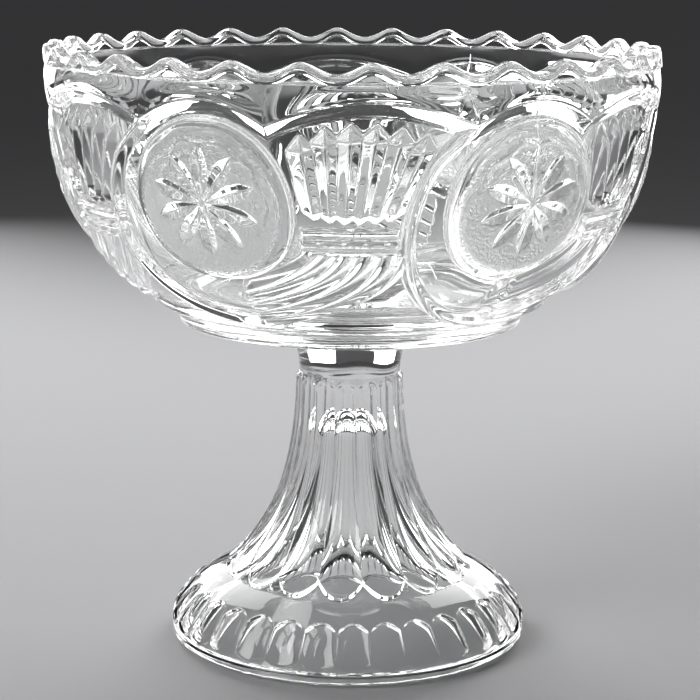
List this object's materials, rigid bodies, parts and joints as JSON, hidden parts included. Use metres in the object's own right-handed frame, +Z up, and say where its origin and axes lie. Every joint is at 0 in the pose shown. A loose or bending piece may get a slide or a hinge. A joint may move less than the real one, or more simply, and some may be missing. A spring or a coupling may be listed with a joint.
{
  "type": "footed glass compote",
  "caption": "Open pressed-glass bowl with a scalloped rim, star medallions and reeded fans, wafer-joined to a fluted stem on a spreading hollow foot.",
  "frame": {"origin": "centre of the foot's resting ring, on the plane the compote stands on", "axes": "+Z up along the bowl's axis, -Y towards the middle of one fan, +X to the right of it"},
  "size_m": [0.2038, 0.2038, 0.2039],
  "materials": {
    "bowl_glass": "clear, fire-polished, with a fine stipple round the stars",
    "wafer_glass": "clear and smooth",
    "stand_glass": "clear, fire-polished"
  },
  "bodies": {
    "root": {"bowl": "bowl_glass", "joining_wafer": "wafer_glass", "stem_and_foot": "stand_glass"}
  },
  "joints": []
}
